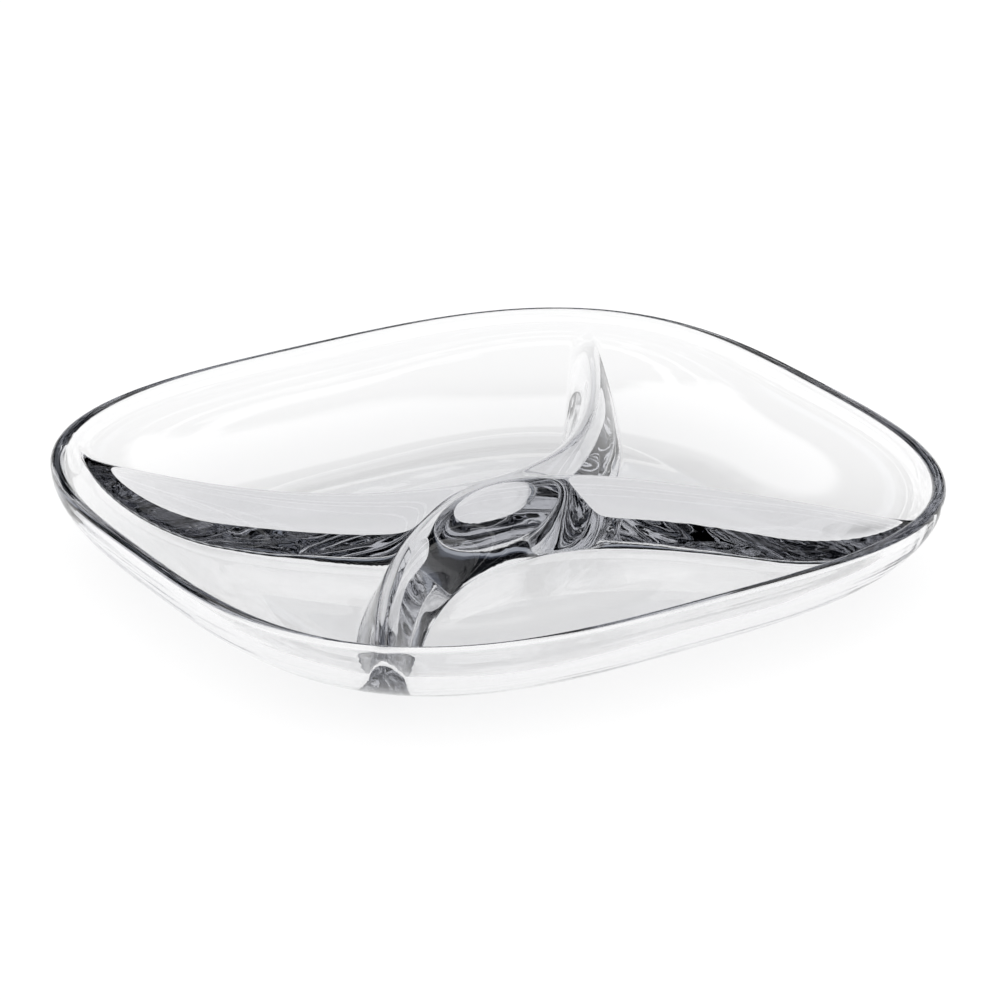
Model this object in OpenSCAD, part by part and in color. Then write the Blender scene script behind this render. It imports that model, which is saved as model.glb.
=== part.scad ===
// Relish tray pressed in one piece of clear glass: a rounded, nearly square
// dish whose floor is shared out by four solid ridges. Millimetres, +Z up,
// origin on the table under the middle of the tray, +X along the longer side.

/* [Plan] */
// Length over the middles of the two short sides
tray_length = 260; // [230:1:330]
// Width over the middles of the two long sides
tray_width = 247; // [225:1:330]
// How square the outline is (2 is an ellipse)
outline_power = 3.1; // [2:0.05:4.5]

/* [Height] */
// Height from the table to the top of the rim
tray_height = 33; // [20:0.5:60]
// Thickness of the glass under the compartments
floor_thickness = 5; // [3:0.25:8]

/* [Wall] */
// Thickness of the glass at the rolled rim
rim_thickness = 4; // [2.5:0.25:7]
// How far the outer face runs in from the rim to the foot
outer_run = 53; // [30:1:60]
// How full the outer face is (2 is a quarter ellipse)
outer_power = 1.9; // [1.5:0.05:2.4]
// How far the inner face runs in from the rim to the flat floor
inner_run = 43; // [28:1:54]
// How full the inner face is (2 is a quarter ellipse)
inner_power = 1.8; // [1.4:0.05:2.2]

/* [Ridges] */
// Drop from the rim to the crest of the bridge in the middle
bridge_drop = 6.5; // [4:0.25:12]
// Drop from the rim to the crests of the four arms
crest_drop = 10.5; // [4:0.25:14]
// Half the width of an arm at its foot, near the middle
arm_half_width = 13; // [7:0.5:16]
// Half the width of an arm where it dies out on the wall
tip_half_width = 3.5; // [0.75:0.25:6]
// How soft a ridge's section is (1.2 is a full dome, 2 a soft wave)
ridge_power = 1.35; // [1.2:0.05:2]
// Distance of an arm's tip from the middle, along the length
tip_x = 99; // [80:1:105]
// Distance of an arm's tip from the middle, along the width
tip_y = 95.5; // [75:0.5:105]
// Length over which the arms swing out of the bridge
fork_length = 3; // [1:0.25:8]
// Height over which a crest fades into the wall
fade_height = 4; // [0.5:0.1:6]

/* [Foot] */
// Width of the flat ring that the tray stands on
foot_width = 12; // [4:0.5:15]
// Depth of the recess inside the ring
recess_depth = 0.5; // [0.4:0.1:2]
// Width of the slope between the ring and the recess
recess_slope = 14; // [2:0.5:16]

/* [Mesh] */
// Columns from the length axis to a ridge, in each quarter
wedge_columns = 11; // [6:1:14]
// Columns from a ridge to the width axis, in each quarter
bay_columns = 15; // [8:1:18]
// Steps of the outer face between the rim and the foot
outer_steps = 12; // [6:1:16]
// Steps of the inner face between the floor and the rim
inner_steps = 14; // [8:1:18]
// Steps round the rolled top of the rim
rim_steps = 6; // [4:1:8]
// Steps across the bridge, from the middle of the floor
bridge_steps = 9; // [5:1:12]
// Steps along the arms, from the bridge to the edge of the floor
arm_steps = 13; // [8:1:18]

/* [Hidden] */
half_length = tray_length / 2;
half_width = tray_width / 2;
rim_radius = rim_thickness / 2;
rim_level = tray_height - rim_radius;
inner_inset = rim_thickness + inner_run;
quarter_columns = wedge_columns + bay_columns;
columns = 4 * quarter_columns;
right_angle = 90;
// the floor's fine middle takes this share of its half length
bridge_share = 0.18;
// a ridge's columns keep within this share of the way to an axis
cluster_share = 0.62;
// this share of the columns lies on the ridge itself
cluster_columns_share = 0.6;
// smallest angle between the length axis and the column along a ridge
guide_angle = 22;
// the crest has come down from the bridge at this share of the way to the tip
crest_share = 0.8;
// the centre line bows as length squared over this
bow = (sqrt(tip_y * tip_y + fork_length * fork_length) - fork_length) / (tip_x * tip_x);

// Outline: distance from the middle in a direction, for given half sizes
function outline_radius(a, b, t) =
    pow(pow(abs(cos(t)) / a, outline_power) + pow(abs(sin(t)) / b, outline_power),
        -1 / outline_power);

// Centre line of an arm: how far it has swung out at a length x
function swing(x) = bow * x * x;
function centre_y(x) = sqrt(swing(x) * (swing(x) + 2 * fork_length));

// Ridge: half width at a length x
function half_width_at(x) =
    tip_half_width + (arm_half_width - tip_half_width)
        * sqrt(max(0, 1 - x * x / (tip_x * tip_x)));

// Ridge: 1 on the centre line, falling as a cosine's power to 0 at the foot
function ridge_share(x, y) =
    let (beside = sqrt(y * y + fork_length * fork_length) - fork_length - swing(x),
         lean = sqrt(1 + pow(2 * bow * x, 2)),
         reach = min(1, abs(beside) / lean / half_width_at(x)))
    pow(cos(right_angle * reach), ridge_power);

// Crest: level from the bridge out to the arms
function crest_level(x) =
    let (out = min(1, x / (tip_x * crest_share)))
    tray_height - bridge_drop
        - (crest_drop - bridge_drop) * (1 - cos(2 * right_angle * out)) / 2;

// Height of the ridge over the bowl, fading where the wall climbs to the crest
function over_bowl(x, z) =
    let (rise = crest_level(x) - z)
    (rise + sqrt(rise * rise + fade_height * fade_height)) / 2;

function surface_level(x, y, z) =
    z + ridge_share(abs(x), abs(y)) * over_bowl(abs(x), z)
        * min(1, (tray_height - z) / bridge_drop);

// Columns: direction of the ridge at a distance r from the middle
function ridge_angle(r) =
    let (x = sqrt((sqrt(1 + 4 * bow * bow * r * r) - 1) / (2 * bow * bow)))
    r > 0 ? atan2(centre_y(x), x) : 0;
function guide(r) = max(guide_angle, ridge_angle(r));

// Columns: angle away from the ridge, close together on the ridge itself
function spread(k, room, r) =
    let (near = min(cluster_share * room, atan(arm_half_width / max(r, arm_half_width))))
    k < cluster_columns_share
        ? near * k / cluster_columns_share
        : near + (room - near) * (k - cluster_columns_share) / (1 - cluster_columns_share);

function quarter_angle(i, r) =
    i < wedge_columns
        ? guide(r) - spread((wedge_columns - i) / wedge_columns, guide(r), r)
        : guide(r) + spread((i - wedge_columns) / bay_columns, right_angle - guide(r), r);

function column_angle(j, r) =
    let (quarter = floor(j / quarter_columns), i = j % quarter_columns)
    quarter % 2 == 0
        ? quarter * right_angle + quarter_angle(i, r)
        : (quarter + 1) * right_angle - quarter_angle(quarter_columns - i, r);

// A ring of points: half sizes, level, and whether the ridges stand on it
function ring(a, b, z, ridged) =
    let (r = outline_radius(a, b, right_angle / 2))
    [for (j = [0:columns - 1])
        let (t = column_angle(j, r), d = outline_radius(a, b, t),
             x = d * cos(t), y = d * sin(t))
        [x, y, ridged ? surface_level(x, y, z) : z]];

function inset_ring(inset, z, ridged) =
    ring(half_length - inset, half_width - inset, z, ridged);

// A face that runs in from the rim and down: inset and drop at a step's angle
function face_inset(run, power, t) = run * (1 - pow(cos(t), 2 / power));
function face_drop(drop, power, t) = drop * pow(sin(t), 2 / power);

// Underside, from the recess out to the foot
recess_inset = outer_run + foot_width + recess_slope;
underside = [
    inset_ring(recess_inset, recess_depth, false),
    inset_ring(outer_run + foot_width + recess_slope / 2, recess_depth / 2, false),
    inset_ring(outer_run + foot_width, 0, false)
];

outer_face = [for (k = [0:outer_steps - 1])
    let (t = right_angle * (1 - k / outer_steps))
    inset_ring(face_inset(outer_run, outer_power, t),
               rim_level - face_drop(rim_level, outer_power, t), false)];

rim = [for (k = [0:rim_steps])
    let (t = 2 * right_angle * k / rim_steps)
    inset_ring(rim_radius * (1 - cos(t)), rim_level + rim_radius * sin(t), false)];

inner_face = [for (k = [1:inner_steps])
    let (t = right_angle * k / inner_steps)
    inset_ring(rim_thickness + face_inset(inner_run, inner_power, t),
               rim_level - face_drop(rim_level - floor_thickness, inner_power, t), true)];

function floor_ring(share) =
    ring((half_length - inner_inset) * share, (half_width - inner_inset) * share,
         floor_thickness, true);

floor_face = concat(
    [for (k = [1:arm_steps]) floor_ring(1 - (1 - bridge_share) * k / arm_steps)],
    [for (k = [1:bridge_steps - 1]) floor_ring(bridge_share * (1 - k / bridge_steps))]);

rings = concat(underside, outer_face, rim, inner_face, floor_face);

// Skin: two triangles between neighbours of two rings, mirrored by quarter
function at(i, j) = i * columns + (j % columns);
function slope_up(j) = floor(j / quarter_columns) % 2 == 0;
function skin(i, j) = slope_up(j)
    ? [[at(i, j), at(i + 1, j), at(i + 1, j + 1)], [at(i, j), at(i + 1, j + 1), at(i, j + 1)]]
    : [[at(i, j), at(i + 1, j), at(i, j + 1)], [at(i, j + 1), at(i + 1, j), at(i + 1, j + 1)]];

module tray() {
    last = len(rings) - 1;
    under_middle = len(rings) * columns;
    top_middle = under_middle + 1;
    points = concat([for (one = rings) each one],
        [[0, 0, recess_depth], [0, 0, surface_level(0, 0, floor_thickness)]]);
    faces = concat(
        [for (j = [0:columns - 1]) [under_middle, at(0, j), at(0, j + 1)]],
        [for (i = [0:last - 1]) for (j = [0:columns - 1]) each skin(i, j)],
        [for (j = [0:columns - 1]) [top_middle, at(last, j + 1), at(last, j)]]);
    color([0.86, 0.88, 0.89, 0.5]) polyhedron(points = points, faces = faces, convexity = 8);
}

tray();
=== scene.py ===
"""Dresses the relish tray: one pressed piece of clear glass on a pale studio floor.

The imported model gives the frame. The tray's skin is worked out again on a finer grid from
the same formulas and the same sizes, because glass shows every facet. Its glass follows how
such a tray is made: pressed in a mould and fire polished.
"""

import logging
import math
from dataclasses import dataclass, field
from enum import Enum
from typing import Any

import bpy
import numpy as np
from mathutils import Matrix, Vector


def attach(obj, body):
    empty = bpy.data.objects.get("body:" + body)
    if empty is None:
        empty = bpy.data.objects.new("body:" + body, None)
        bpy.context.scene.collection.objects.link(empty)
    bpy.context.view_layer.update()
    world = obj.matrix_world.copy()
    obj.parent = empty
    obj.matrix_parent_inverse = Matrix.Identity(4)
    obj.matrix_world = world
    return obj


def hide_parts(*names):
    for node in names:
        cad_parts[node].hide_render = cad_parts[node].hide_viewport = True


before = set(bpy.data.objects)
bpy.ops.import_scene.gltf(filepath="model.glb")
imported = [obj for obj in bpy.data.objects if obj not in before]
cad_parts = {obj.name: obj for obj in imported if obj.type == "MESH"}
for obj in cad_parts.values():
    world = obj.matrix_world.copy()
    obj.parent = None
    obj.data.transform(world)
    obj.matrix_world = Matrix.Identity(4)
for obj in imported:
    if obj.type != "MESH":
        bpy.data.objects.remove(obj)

LOG = logging.getLogger("relish_tray")
MM = 0.001
MOULD_SIDE = "mould_side"
Array = np.ndarray
Colour = tuple[float, float, float, float]


class Side(Enum):
    """Which skin of the tray a ring of points belongs to."""

    UNDER = "underside, outer face and rim"
    UPPER = "inner face and floor, which carry the ridges"


# ---------------------------------------------------------------- materials


def linear(code: str) -> Colour:
    """Turns an sRGB hex colour into a linear one.

    Args:
        code: six hex digits, such as "F4F6F8".

    Returns:
        Red, green, blue and an alpha of 1, in linear light.
    """
    parts = [int(code[i : i + 2], 16) / 255 for i in (0, 2, 4)]
    return (*(c / 12.92 if c <= 0.04045 else ((c + 0.055) / 1.055) ** 2.4 for c in parts), 1.0)


def add_node(
    tree: bpy.types.NodeTree,
    kind: str,
    settings: dict[str | int, Any] | None = None,
    links: dict[str | int, bpy.types.NodeSocket] | None = None,
) -> bpy.types.Node:
    """Adds a node with its settings and links.

    Args:
        tree: the tree that gets the node.
        kind: the node's bl_idname.
        settings: socket values by socket name or number, and attributes by a name that
            starts with a dot.
        links: the sockets that feed this node's inputs, by input name or number.

    Returns:
        The node.
    """
    node = tree.nodes.new(kind)
    for name, value in (settings or {}).items():
        if isinstance(name, str) and name.startswith("."):
            setattr(node, name[1:], value)
        else:
            node.inputs[name].default_value = value
    for name, socket in (links or {}).items():
        tree.links.new(socket, node.inputs[name])
    return node


def empty_tree(owner: bpy.types.Material | bpy.types.World) -> bpy.types.NodeTree:
    """Empties the node tree of a material or of the world.

    Args:
        owner: the material or world.

    Returns:
        Its node tree, without any node.
    """
    owner.use_nodes = True
    owner.node_tree.nodes.clear()
    return owner.node_tree


@dataclass(frozen=True)
class PressedGlass:
    """Clear soda-lime glass, pressed in a mould and fire polished.

    The flame leaves the surface as smooth as water, but the pressing leaves slow ripples of
    a hundredth to a tenth of a millimetre. They break the dark in the ridges into fine
    contour lines. The plunger's side is the smoother one. The side that stood in the mould
    has level lines round the wall, which show as thin streaks along the rim, and a longer
    and deeper ripple underneath. Some light is lost in the depth of the glass, so that the
    thick ridges and the rim look slate grey beside the clear floor.

    The loss with depth and the heights and spacings of the ripples are not those of a
    measured glass. They were tried out until the tones and streaks came near the photograph,
    and the loss is stronger than clear table glass is likely to have. Heights and spacings
    are in millimetres.
    """

    name: str = "soda_lime_glass_pressed_fire_polished"
    tint: str = "FFFFFF"
    depth_tint: str = "B6B8C0"
    depth_density: float = 10.0
    ior: float = 1.52
    roughness: float = 0.0
    ripple_mm: float = 9.0
    ripple_height_mm: float = 0.008
    chill_mm: float = 3.0
    chill_length_mm: float = 70.0
    chill_height_mm: float = 0.12
    under_ripple_mm: float = 16.0
    under_ripple_height_mm: float = 0.08
    under_level_mm: float = 4.0
    under_blend_mm: float = 1.0
    lamp_tint: str = "F9F9F9"

    def ripples(self, tree: bpy.types.NodeTree) -> bpy.types.NodeSocket:
        """Makes the ripple of the whole skin, the mould side's lines and the deeper ripple.

        Args:
            tree: the material's node tree.

        Returns:
            The bumped normal. The lines are where the mould side's attribute is 1, and the
            deeper ripple comes in below under_level_mm.
        """
        spot = add_node(tree, "ShaderNodeTexCoord").outputs["Object"]
        fine = add_node(
            tree,
            "ShaderNodeTexNoise",
            {"Scale": 1 / (self.ripple_mm * MM), "Detail": 1.0, "Roughness": 0.35},
            {"Vector": spot},
        )
        bump = add_node(
            tree,
            "ShaderNodeBump",
            {"Strength": 1.0, "Distance": self.ripple_height_mm * MM},
            {"Height": fine.outputs["Fac"]},
        )
        long, short = 1 / (self.chill_length_mm * MM), 1 / (self.chill_mm * MM)
        stretched = add_node(
            tree, "ShaderNodeMapping", {"Scale": (long, long, short)}, {"Vector": spot}
        )
        chill = add_node(
            tree,
            "ShaderNodeTexNoise",
            {"Scale": 1.0, "Detail": 1.0, "Roughness": 0.5},
            {"Vector": stretched.outputs[0]},
        )
        mould = add_node(tree, "ShaderNodeAttribute", {".attribute_name": MOULD_SIDE})
        bump = add_node(
            tree,
            "ShaderNodeBump",
            {"Distance": self.chill_height_mm * MM},
            {
                "Strength": mould.outputs["Fac"],
                "Height": chill.outputs["Fac"],
                "Normal": bump.outputs["Normal"],
            },
        )
        slow = add_node(
            tree,
            "ShaderNodeTexNoise",
            {"Scale": 1 / (self.under_ripple_mm * MM), "Detail": 0.5, "Roughness": 0.4},
            {"Vector": spot},
        )
        level = add_node(tree, "ShaderNodeSeparateXYZ", None, {0: spot})
        top, foot = self.under_level_mm, self.under_level_mm - self.under_blend_mm
        below = add_node(
            tree,
            "ShaderNodeMapRange",
            {"From Min": top * MM, "From Max": foot * MM, "To Min": 0.0, "To Max": 1.0},
            {"Value": level.outputs["Z"]},
        )
        bump = add_node(
            tree,
            "ShaderNodeBump",
            {"Distance": self.under_ripple_height_mm * MM},
            {
                "Strength": below.outputs["Result"],
                "Height": slow.outputs["Fac"],
                "Normal": bump.outputs["Normal"],
            },
        )
        return bump.outputs["Normal"]

    def material(self) -> bpy.types.Material:
        """Makes the glass.

        Returns:
            A material that refracts for the eye, takes a little light with depth, and lets
            the light for the floor straight through with a small loss.
        """
        made = bpy.data.materials.new(self.name)
        tree = empty_tree(made)
        glass = add_node(
            tree,
            "ShaderNodeBsdfPrincipled",
            {
                "Base Color": linear(self.tint),
                "Roughness": self.roughness,
                "IOR": self.ior,
                "Transmission Weight": 1.0,
            },
            {"Normal": self.ripples(tree)},
        )
        path = add_node(tree, "ShaderNodeLightPath")
        floor_light = add_node(
            tree,
            "ShaderNodeMath",
            {".operation": "MAXIMUM"},
            {0: path.outputs["Is Shadow Ray"], 1: path.outputs["Is Diffuse Ray"]},
        )
        clear = add_node(
            tree, "ShaderNodeBsdfTransparent", {"Color": linear(self.lamp_tint)}
        )
        surface = add_node(
            tree,
            "ShaderNodeMixShader",
            None,
            {0: floor_light.outputs[0], 1: glass.outputs[0], 2: clear.outputs[0]},
        )
        inside = add_node(
            tree,
            "ShaderNodeVolumeAbsorption",
            {"Color": linear(self.depth_tint), "Density": self.depth_density},
        )
        add_node(
            tree,
            "ShaderNodeOutputMaterial",
            None,
            {"Surface": surface.outputs[0], "Volume": inside.outputs[0]},
        )
        return made


@dataclass(frozen=True)
class BackdropPaper:
    """Matt paper of a studio backdrop: no sheen, its own colour in even light."""

    name: str = "matt_white_paper"
    colour: str = "FFFFFF"
    roughness: float = 0.9

    def material(self) -> bpy.types.Material:
        """Makes the matt paper.

        Returns:
            The material.
        """
        made = bpy.data.materials.new(self.name)
        tree = empty_tree(made)
        paper = add_node(
            tree,
            "ShaderNodeBsdfPrincipled",
            {
                "Base Color": linear(self.colour),
                "Roughness": self.roughness,
                "Specular IOR Level": 0.0,
            },
        )
        add_node(tree, "ShaderNodeOutputMaterial", None, {"Surface": paper.outputs[0]})
        return made


# ------------------------------------------------------------------- meshes


def grid_mesh(name: str, rings: Array, ends: Array, flip: Array) -> bpy.types.Mesh:
    """Skins rings of points into one closed mesh.

    Quad (i, j) joins points j and j + 1 of ring i with the same points of ring i + 1; the
    last column joins the first. Each end ring is closed by a fan to one middle point.

    Args:
        name: the mesh's name.
        rings: points, as rings x columns x 3, in metres, wound so that the faces point
            outwards.
        ends: the two middle points, as 2 x 3: under the first ring and over the last.
        flip: for each column, whether its quads are cut along the other diagonal.

    Returns:
        The mesh, smooth shaded.
    """
    count, columns, _ = rings.shape
    i, j = np.meshgrid(np.arange(count - 1), np.arange(columns), indexing="ij")
    k = (j + 1) % columns
    a, b = i * columns + j, (i + 1) * columns + j
    c, d = (i + 1) * columns + k, i * columns + k
    cut = flip[j][..., None]
    one = np.where(cut, np.stack([a, d, b], -1), np.stack([a, c, b], -1))
    two = np.where(cut, np.stack([d, c, b], -1), np.stack([a, d, c], -1))
    j, k = np.arange(columns), (np.arange(columns) + 1) % columns
    under, over = count * columns, count * columns + 1
    last = (count - 1) * columns
    fans = [np.stack([np.full(columns, under), k, j], -1)]
    fans += [np.stack([np.full(columns, over), last + j, last + k], -1)]
    faces = np.concatenate([one.reshape(-1, 3), two.reshape(-1, 3), *fans]).astype(np.int32)
    points = np.concatenate([rings.reshape(-1, 3), ends]).astype(np.float32)
    mesh = bpy.data.meshes.new(name)
    mesh.vertices.add(len(points))
    mesh.vertices.foreach_set("co", points.ravel())
    mesh.loops.add(faces.size)
    mesh.loops.foreach_set("vertex_index", faces.ravel())
    mesh.polygons.add(len(faces))
    mesh.polygons.foreach_set("loop_start", np.arange(0, faces.size, 3, dtype=np.int32))
    mesh.update(calc_edges=True)
    mesh.validate()
    mesh.polygons.foreach_set("use_smooth", np.ones(len(mesh.polygons), bool))
    mesh.update()
    return mesh


def set_down(
    name: str, mesh: bpy.types.Mesh, finish: bpy.types.Material
) -> bpy.types.Object:
    """Puts a mesh into the scene at the origin, with its material.

    Args:
        name: the object's name.
        mesh: its mesh, with its place in it.
        finish: its material.

    Returns:
        The object.
    """
    made = bpy.data.objects.new(name, mesh)
    mesh.materials.append(finish)
    bpy.context.scene.collection.objects.link(made)
    return made


# --------------------------------------------------------------------- tray


@dataclass
class RelishTray:
    """The tray: outline, wall, rim, floor and the four ridges, all one piece.

    Sizes are in millimetres and the same as the source's. The shares say where the finer
    middle of the floor ends, where the crest has come down, and how the columns crowd
    together on a ridge. The steps and columns are finer than the source's.
    """

    length: float = 260.0
    width: float = 247.0
    outline_power: float = 3.1
    height: float = 33.0
    floor_thickness: float = 5.0
    rim_thickness: float = 4.0
    outer_run: float = 53.0
    outer_power: float = 1.9
    inner_run: float = 43.0
    inner_power: float = 1.8
    bridge_drop: float = 6.5
    crest_drop: float = 10.5
    arm_half_width: float = 13.0
    tip_half_width: float = 3.5
    ridge_power: float = 1.35
    tip_x: float = 99.0
    tip_y: float = 95.5
    fork_length: float = 3.0
    fade_height: float = 4.0
    foot_width: float = 12.0
    recess_depth: float = 0.5
    recess_slope: float = 14.0
    crest_share: float = 0.8
    bridge_share: float = 0.18
    cluster_share: float = 0.62
    cluster_columns_share: float = 0.6
    guide_angle: float = math.radians(22)
    wedge_columns: int = 48
    bay_columns: int = 60
    recess_steps: int = 9
    recess_middle: float = 0.1
    slope_steps: int = 9
    outer_steps: int = 44
    rim_steps: int = 20
    inner_steps: int = 60
    arm_steps: int = 50
    bridge_steps: int = 34
    finish: PressedGlass = field(default_factory=PressedGlass)

    @property
    def bow(self) -> float:
        """How fast an arm's centre line swings out: swing = bow x squared."""
        return (math.hypot(self.tip_y, self.fork_length) - self.fork_length) / self.tip_x**2

    @property
    def quarter(self) -> int:
        """Columns in a quarter of the plan."""
        return self.wedge_columns + self.bay_columns

    def outline_radius(self, a: Array, b: Array, turn: Array) -> Array:
        """Distance from the middle to the outline, a superellipse: |x/a|^p + |y/b|^p = 1.

        Args:
            a: half the outline's length.
            b: half its width.
            turn: the direction from the middle, in radians.

        Returns:
            The distance in each direction.
        """
        p = self.outline_power
        along, across = np.abs(np.cos(turn)) / a, np.abs(np.sin(turn)) / b
        return (along**p + across**p) ** (-1 / p)

    def centre_y(self, x: Array) -> Array:
        """Centre line of an arm: sqrt(s (s + 2 fork)), where s = bow x squared."""
        swing = self.bow * x * x
        return np.sqrt(swing * (swing + 2 * self.fork_length))

    def half_width_at(self, x: Array) -> Array:
        """Half the ridge's width: an ellipse's fall from the arm's width to the tip's."""
        fall = np.sqrt(np.maximum(0.0, 1 - (x / self.tip_x) ** 2))
        return self.tip_half_width + (self.arm_half_width - self.tip_half_width) * fall

    def ridge_share(self, x: Array, y: Array) -> Array:
        """Share of the crest's height: cos(pi d / 2 w) ^ power, d away from the centre line.

        Args:
            x: distance from the middle along the length.
            y: distance from the middle along the width.

        Returns:
            1 on the centre line, falling to 0 at the half width w and beyond.
        """
        beside = np.hypot(y, self.fork_length) - self.fork_length - self.bow * x * x
        lean = np.hypot(1.0, 2 * self.bow * x)
        reach = np.minimum(1.0, np.abs(beside) / lean / self.half_width_at(x))
        return np.cos(np.pi / 2 * reach) ** self.ridge_power

    def crest_level(self, x: Array) -> Array:
        """Level of the crest: a cosine's fall from the bridge to the arms.

        Args:
            x: distance from the middle along the length.

        Returns:
            The crest's level there.
        """
        out = np.minimum(1.0, x / (self.tip_x * self.crest_share))
        fall = (self.crest_drop - self.bridge_drop) * (1 - np.cos(np.pi * out)) / 2
        return self.height - self.bridge_drop - fall

    def surface_level(self, x: Array, y: Array, z: Array) -> Array:
        """Level of the upper skin: the bowl's level plus the ridge over it.

        The ridge's height is a smooth maximum of 0 and the crest's rise over the bowl, so it
        fades as the wall climbs past the crest, and it is gone at the top of the rim.

        Args:
            x: place along the length.
            y: place along the width.
            z: the bowl's level there.

        Returns:
            The level with the ridge.
        """
        x, y = np.abs(x), np.abs(y)
        rise = self.crest_level(x) - z
        over = (rise + np.hypot(rise, self.fade_height)) / 2
        under_rim = np.minimum(1.0, (self.height - z) / self.bridge_drop)
        return z + self.ridge_share(x, y) * over * under_rim

    def ridge_angle(self, r: Array) -> Array:
        """Direction of an arm's centre line at a distance r from the middle."""
        x = np.sqrt((np.sqrt(1 + (2 * self.bow * r) ** 2) - 1) / (2 * self.bow**2))
        return np.arctan2(self.centre_y(x), np.maximum(x, np.finfo(float).tiny))

    def turns(self, r: Array) -> Array:
        """Directions of all columns, for rings of a given size, close on the ridges.

        Args:
            r: each ring's distance from the middle at 45 degrees.

        Returns:
            Angles in radians, as rings x columns.
        """
        guide = np.maximum(self.guide_angle, self.ridge_angle(r))[:, None]
        reach = np.arctan(self.arm_half_width / np.maximum(r, self.arm_half_width))[:, None]
        dense = self.cluster_columns_share

        def spread(k: Array, room: Array) -> Array:
            """Angle from the ridge: even to its foot, then even to the axis.

            Args:
                k: share of the columns, 0 on the ridge and 1 on the axis.
                room: the whole angle from the ridge to the axis.

            Returns:
                The angle of each column from the ridge.
            """
            near = np.minimum(self.cluster_share * room, reach)
            past = near + (room - near) * (k - dense) / (1 - dense)
            return np.where(k < dense, near * k / dense, past)

        wedge = guide - spread(np.linspace(1, 0, self.wedge_columns + 1)[None, :-1], guide)
        bay = guide + spread(np.linspace(0, 1, self.bay_columns + 1)[None, :], np.pi / 2 - guide)
        first = np.concatenate([wedge, bay], 1)
        back = np.pi - first[:, ::-1]
        half = np.concatenate([first[:, :-1], back[:, :-1]], 1)
        return np.concatenate([half, half + np.pi], 1)

    def rings(self) -> tuple[Array, Array]:
        """Half sizes and level of every ring, from under the floor, over the rim, to the floor.

        The outer and inner faces run in by run (1 - cos^(2/power)) and down by
        drop sin^(2/power); the rim is a half circle; the recess's slope is a cosine.

        Returns:
            Rings x 3 (half length, half width, level), and whether each carries the ridges.
        """
        a, b, r = self.length / 2, self.width / 2, self.rim_thickness / 2
        level = self.height - r
        rows: list[tuple[Array, Array, Array, Side]] = []

        def scaled(inset: float, share: Array, z: float, side: Side) -> None:
            """Adds level rings that are shares of the outline inside an inset."""
            rows.append(((a - inset) * share, (b - inset) * share, share * 0 + z, side))

        def inside(inset: Array, z: Array, side: Side) -> None:
            """Adds rings that lie a distance inside the outline."""
            rows.append((a - inset, b - inset, z + 0 * inset, side))

        def face(turn: Array, power: float) -> tuple[Array, Array]:
            """Shares of a face's run and drop at an angle down from the rim."""
            cosine, sine = np.maximum(np.cos(turn), 0), np.sin(turn)
            return 1 - cosine ** (2 / power), sine ** (2 / power)

        slope_foot = self.outer_run + self.foot_width
        share = np.linspace(self.recess_middle, 1 - self.recess_middle, self.recess_steps)
        scaled(slope_foot + self.recess_slope, share, self.recess_depth, Side.UNDER)
        share = np.linspace(1, 0, self.slope_steps)
        ease = (1 - np.cos(np.pi * share)) / 2
        inside(slope_foot + self.recess_slope * share, self.recess_depth * ease, Side.UNDER)
        thirds = np.array([2 / 3, 1 / 3])
        inside(self.outer_run + self.foot_width * thirds, np.zeros(2), Side.UNDER)
        turn = np.pi / 2 * np.linspace(1, 0, self.outer_steps, endpoint=False)
        run, drop = face(turn, self.outer_power)
        inside(self.outer_run * run, level - level * drop, Side.UNDER)
        turn = np.linspace(0, np.pi, self.rim_steps + 1)
        inside(r * (1 - np.cos(turn)), level + r * np.sin(turn), Side.UNDER)
        turn = np.pi / 2 * np.arange(1, self.inner_steps + 1) / self.inner_steps
        run, drop = face(turn, self.inner_power)
        depth = level - self.floor_thickness
        inside(self.rim_thickness + self.inner_run * run, level - depth * drop, Side.UPPER)
        middle = self.bridge_share
        share = 1 - (1 - middle) * np.arange(1, self.arm_steps + 1) / self.arm_steps
        bridge = middle * (1 - np.arange(1, self.bridge_steps) / self.bridge_steps)
        share = np.append(share, bridge)
        scaled(self.rim_thickness + self.inner_run, share, self.floor_thickness, Side.UPPER)
        table = np.concatenate([np.stack(row[:3], -1) for row in rows])
        ridged = np.concatenate([np.full(len(row[0]), row[3] is Side.UPPER) for row in rows])
        return table, ridged

    def skin(self) -> bpy.types.Mesh:
        """Works out the whole skin.

        Returns:
            The closed mesh, in metres, with 1 as its mould side's attribute under the rim's
            inner edge and 0 inside the tray.
        """
        table, ridged = self.rings()
        a, b, z = (table[:, i, None] for i in range(3))
        turn = self.turns(self.outline_radius(a, b, np.full_like(a, np.pi / 4))[:, 0])
        reach = self.outline_radius(a, b, turn)
        x, y = reach * np.cos(turn), reach * np.sin(turn)
        level = np.where(ridged[:, None], self.surface_level(x, y, z), z + 0 * x)
        points = np.stack([x, y, level], -1)
        middle = np.zeros(1)
        top = self.surface_level(middle, middle, np.full(1, self.floor_thickness))[0]
        ends = np.array([[0, 0, self.recess_depth], [0, 0, top]])
        flip = (np.arange(4 * self.quarter) // self.quarter) % 2 == 1
        mesh = grid_mesh("tray_glass", points * MM, ends * MM, flip)
        mould = np.append(np.repeat(~ridged, 4 * self.quarter), [True, False])
        side = mesh.attributes.new(MOULD_SIDE, "FLOAT", "POINT")
        side.data.foreach_set("value", mould.astype(np.float32))
        return mesh

    def build(self) -> bpy.types.Object:
        """Makes the tray, dresses it and ties it to its CAD node.

        Returns:
            The piece.
        """
        piece = set_down("tray_glass", self.skin(), self.finish.material())
        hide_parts("tray")
        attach(piece, "root")
        LOG.info("%s: %d triangles", piece.name, len(piece.data.polygons))
        return piece


# ------------------------------------------------------------------- studio


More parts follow.
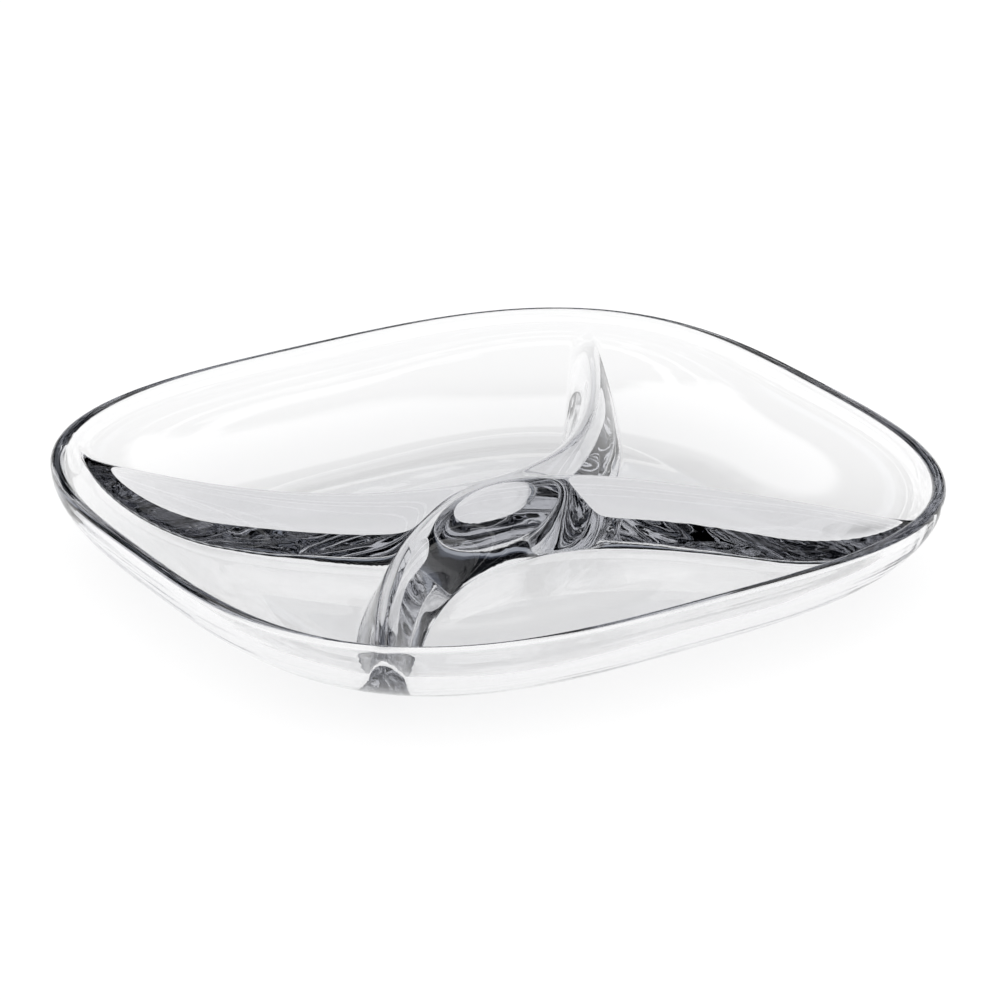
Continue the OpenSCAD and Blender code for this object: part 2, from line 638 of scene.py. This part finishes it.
@dataclass
class Viewpoint:
    """Where the photograph was taken from. Lengths in metres, angles in degrees."""

    azimuth: float = 32.4
    elevation: float = 22.9
    distance: float = 1.4
    focal_pixels: float = 4387.0
    aim_height: float = 0.033
    centre_x: float = 495.0
    centre_y: float = 462.2
    frame_pixels: float = 1000.0
    sensor_mm: float = 36.0
    nearest: float = 0.05
    farthest: float = 50.0

    def build(self) -> bpy.types.Object:
        """Makes the camera, looking at the middle of the rim.

        Returns:
            The camera, which the scene then uses.
        """
        turn, tilt = math.radians(self.azimuth), math.radians(self.elevation)
        level = math.cos(tilt)
        away = Vector((-math.sin(turn) * level, -math.cos(turn) * level, math.sin(tilt)))
        data = bpy.data.cameras.new("camera")
        data.sensor_width = self.sensor_mm
        data.lens = self.focal_pixels / self.frame_pixels * data.sensor_width
        data.shift_x = (self.frame_pixels / 2 - self.centre_x) / self.frame_pixels
        data.shift_y = (self.centre_y - self.frame_pixels / 2) / self.frame_pixels
        data.clip_start, data.clip_end = self.nearest, self.farthest
        made = bpy.data.objects.new("camera", data)
        stand = Matrix.Translation(Vector((0, 0, self.aim_height)) + away * self.distance)
        made.matrix_world = stand @ away.to_track_quat("Z", "Y").to_matrix().to_4x4()
        bpy.context.scene.collection.objects.link(made)
        bpy.context.scene.camera = made
        LOG.info("camera: %.1f mm lens", data.lens)
        return made


WHITE, DUSK, DARK = "FFFFFF", "14161A", "0A0B0E"
Bands = tuple[tuple[float, str], ...]


@dataclass
class Studio:
    """White paper floor, a soft overhead lamp and the room round them.

    The room is dark above a low white wall, with bright strips round it, and with a bright
    panel high up on its far side, across the tray from the photographer. The wall is the
    background of a low view. The dark gives the glass its dark edges and ridges, and the
    strips draw the contour lines in them. The real room isn't known: the heights and tones
    of the bands were tried out for the photograph's side of the tray.

    Bands are heights in the room, each as the sine of its angle over the floor, with the
    colour from there to the next. Other lengths are in metres.
    """

    floor_size: float = 8.0
    floor_gap: float = 0.0002
    paper: BackdropPaper = field(default_factory=BackdropPaper)
    bands: Bands = (
        # the low wall
        *((0.00, WHITE), (0.115, WHITE)),
        # dark, with two strips that the arms of the ridges show
        *((0.12, DUSK), (0.20, DUSK), (0.205, WHITE), (0.215, WHITE)),
        *((0.22, DARK), (0.335, DARK), (0.34, "C8CAD0"), (0.35, "C8CAD0")),
        # dark, with a strip that the far wall of the tray shows
        *((0.36, DARK), (0.555, DARK), (0.56, "E6E6EC"), (0.575, "E6E6EC")),
        # dark, with two rings overhead that the bridge shows
        *((0.58, DARK), (0.70, DARK), (0.705, WHITE), (0.725, WHITE)),
        *((0.73, DARK), (0.80, DARK), (0.805, WHITE), (0.84, WHITE)),
        *((0.85, DARK), (1.00, DARK)),
    )
    far_bands: Bands = (
        # the low wall
        *((0.00, WHITE), (0.115, WHITE)),
        # dark, with one strip
        *((0.12, DARK), (0.20, DARK), (0.205, WHITE), (0.22, WHITE)),
        # dark, with a grey part that the floor of the front bay mirrors
        *((0.225, DARK), (0.33, DARK), (0.34, "A4A8B0"), (0.41, "A4A8B0")),
        *((0.42, "4A4F59"), (0.44, "4A4F59")),
        # dark, with the panel
        *((0.45, DARK), (0.60, DARK), (0.63, WHITE), (0.89, WHITE)),
        *((0.92, DARK), (1.00, DARK)),
    )
    far_turn: float = 32.4
    far_from: float = 0.20
    far_to: float = 0.30
    lamp_watts: float = 2.0
    lamp_size: float = 1.2
    lamp_height: float = 1.4

    def floor(self) -> bpy.types.Object:
        """Makes the paper floor just under the foot.

        Returns:
            The floor.
        """
        h, z = self.floor_size / 2, -self.floor_gap
        mesh = bpy.data.meshes.new("studio_floor")
        mesh.from_pydata([(-h, -h, z), (h, -h, z), (h, h, z), (-h, h, z)], [], [(0, 1, 2, 3)])
        made = set_down("studio_floor", mesh, self.paper.material())
        return made

    def ramp(
        self, tree: bpy.types.NodeTree, bands: Bands, up: bpy.types.NodeSocket
    ) -> bpy.types.NodeSocket:
        """Makes the colours of a side of the room.

        Args:
            tree: the world's node tree.
            bands: heights and colours, from the floor to straight overhead.
            up: the sine of the height.

        Returns:
            The colour at that height.
        """
        made = add_node(tree, "ShaderNodeValToRGB", None, {0: up})
        stops = made.color_ramp.elements
        (stops[0].position, first), (stops[1].position, last) = bands[0], bands[-1]
        stops[0].color, stops[1].color = linear(first), linear(last)
        for sine, colour in bands[1:-1]:
            stops.new(sine).color = linear(colour)
        return made.outputs[0]

    def world(self) -> None:
        """Makes the room.

        The far side lies far_turn degrees round from +Y towards +X. Its bands take over from
        the others between far_from and far_to, shares of the way to it. The camera and the
        glass see the same room; the matt floor is lit by a plain white one, so that it keeps
        a plain level.
        """
        room = bpy.data.worlds.new("studio_room")
        bpy.context.scene.world = room
        tree = empty_tree(room)
        toward = add_node(tree, "ShaderNodeTexCoord").outputs["Generated"]
        up = add_node(tree, "ShaderNodeSeparateXYZ", None, {0: toward}).outputs["Z"]
        turned = add_node(
            tree,
            "ShaderNodeVectorRotate",
            {".rotation_type": "Z_AXIS", "Angle": math.radians(self.far_turn)},
            {"Vector": toward},
        )
        away = add_node(tree, "ShaderNodeSeparateXYZ", None, {0: turned.outputs[0]})
        far = add_node(
            tree,
            "ShaderNodeMapRange",
            {"From Min": self.far_from, "From Max": self.far_to, "To Min": 0.0, "To Max": 1.0},
            {"Value": away.outputs["Y"]},
        )
        near_side = self.ramp(tree, self.bands, up)
        far_side = self.ramp(tree, self.far_bands, up)
        sides = add_node(
            tree,
            "ShaderNodeMix",
            {".data_type": "RGBA"},
            {0: far.outputs["Result"], 6: near_side, 7: far_side},
        )
        path = add_node(tree, "ShaderNodeLightPath")
        seen = add_node(
            tree,
            "ShaderNodeMix",
            {".data_type": "RGBA", 7: linear(WHITE)},
            {0: path.outputs["Is Diffuse Ray"], 6: sides.outputs[2]},
        )
        back = add_node(
            tree, "ShaderNodeBackground", {"Strength": 1.0}, {"Color": seen.outputs[2]}
        )
        add_node(tree, "ShaderNodeOutputWorld", None, {"Surface": back.outputs[0]})

    def lamp(self) -> None:
        """Makes one soft square lamp over the tray, which only the matt floor sees."""
        data = bpy.data.lights.new("soft_lamp", "AREA")
        data.energy, data.size = self.lamp_watts, self.lamp_size
        made = bpy.data.objects.new("soft_lamp", data)
        made.matrix_world = Matrix.Translation((0, 0, self.lamp_height))
        made.visible_camera = False
        made.visible_glossy = False
        made.visible_transmission = False
        bpy.context.scene.collection.objects.link(made)

    def build(self) -> None:
        """Makes floor, room and lamp."""
        self.floor()
        self.world()
        self.lamp()
        LOG.info("studio: floor, room and lamp")


# Light runs along inside a ridge by many mirrorings before it leaves the glass. With fewer
# bounces it is cut off there, and the ridges turn flat black.
GLASS_BOUNCES = 32


def main() -> None:
    """Builds the tray, then the studio and the camera."""
    logging.basicConfig(level=logging.INFO, format="%(name)s %(message)s")
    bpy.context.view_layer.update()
    RelishTray().build()
    Studio().build()
    Viewpoint().build()
    scene = bpy.context.scene
    scene.view_settings.view_transform = "Standard"
    scene.cycles.max_bounces = GLASS_BOUNCES
    scene.cycles.glossy_bounces = GLASS_BOUNCES
    scene.cycles.transmission_bounces = GLASS_BOUNCES


if __name__ == "__main__":
    main()
